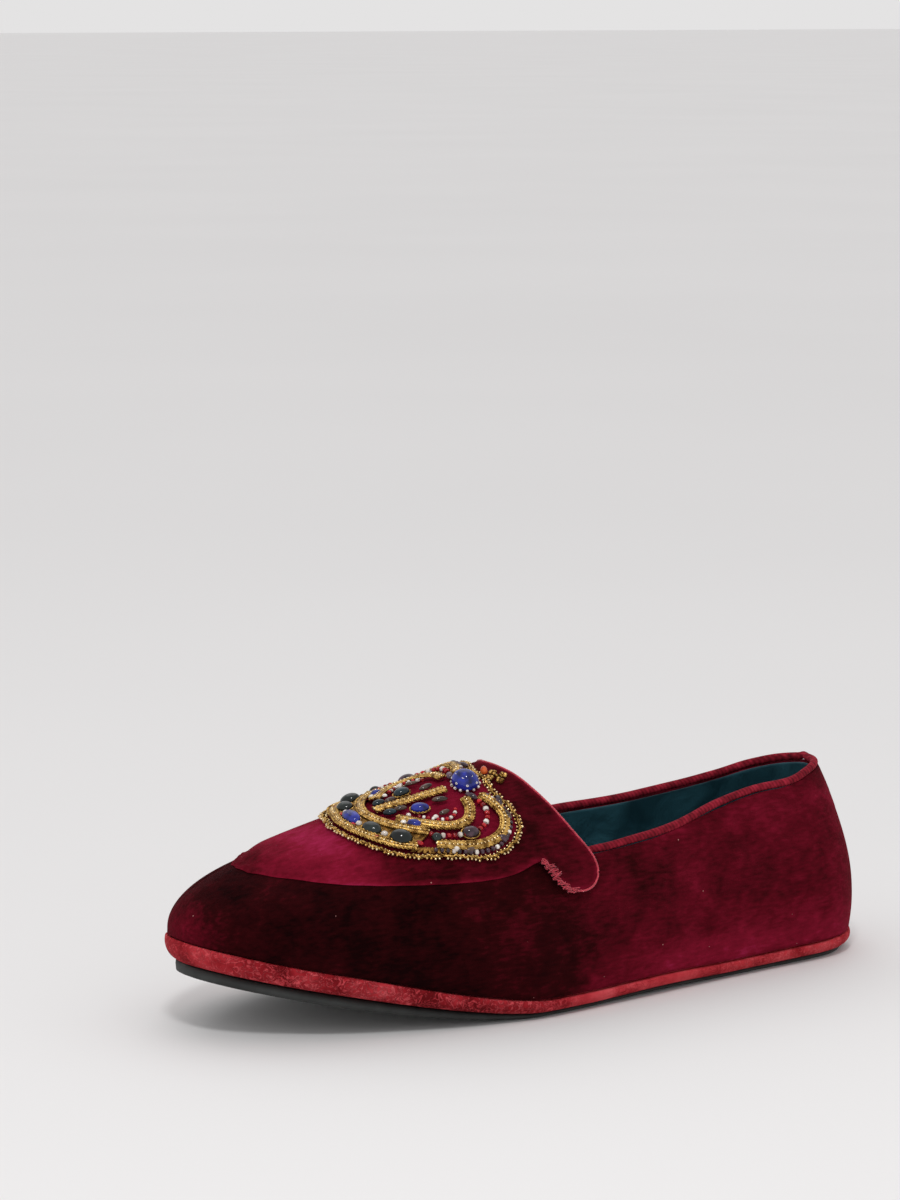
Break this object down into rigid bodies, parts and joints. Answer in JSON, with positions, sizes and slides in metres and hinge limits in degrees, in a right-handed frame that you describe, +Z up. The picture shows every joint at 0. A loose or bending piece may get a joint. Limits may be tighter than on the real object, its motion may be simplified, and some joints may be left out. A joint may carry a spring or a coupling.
{
  "type": "velvet slipper loafer",
  "caption": "Left velvet slipper loafer with a raised apron and rounded side tabs, bound collar, velvet-covered sole edge and a beaded crown ornament on the vamp.",
  "frame": {"origin": "on the floor under the middle of the shoe's box", "axes": "+X from the toe to the heel, +Y to the inner side of the foot, +Z up from the floor"},
  "size_m": [0.2812, 0.0977, 0.0886],
  "materials": {
    "outsole_rubber": "matt black moulded rubber",
    "band_velvet": "bright red cut-pile velvet wrapped over the platform's edge",
    "satin_lining": "dark teal satin",
    "upper_velvet": "dark burgundy velvet with a crushed nap",
    "apron_velvet": "burgundy velvet, brighter where its nap is brushed up",
    "binding_velvet": "red velvet tape",
    "gilt_bullion": "gilt bullion wire and beads on felt",
    "stone_glass": "polished cobalt, green and grey glass stones"
  },
  "bodies": {
    "root": {"outsole": "outsole_rubber", "midsole": "band_velvet", "insole": "satin_lining", "upper": "upper_velvet", "apron": "apron_velvet", "collar_binding": "binding_velvet", "crown_base": "gilt_bullion", "crown_circlet_back": "gilt_bullion", "crown_circlet_front": "gilt_bullion", "crown_inner_arch_left": "gilt_bullion", "crown_inner_arch_right": "gilt_bullion", "crown_outer_arch_left": "gilt_bullion", "crown_outer_arch_right": "gilt_bullion", "crown_upright": "gilt_bullion", "crown_orb": "stone_glass", "crown_finial": "gilt_bullion", "crown_stone_1": "stone_glass", "crown_stone_2": "stone_glass", "crown_stone_3": "stone_glass", "crown_stone_4": "stone_glass", "crown_stone_5": "stone_glass", "crown_stone_6": "stone_glass", "crown_stone_7": "stone_glass", "crown_stone_8": "stone_glass", "crown_stone_9": "stone_glass"}
  },
  "joints": []
}
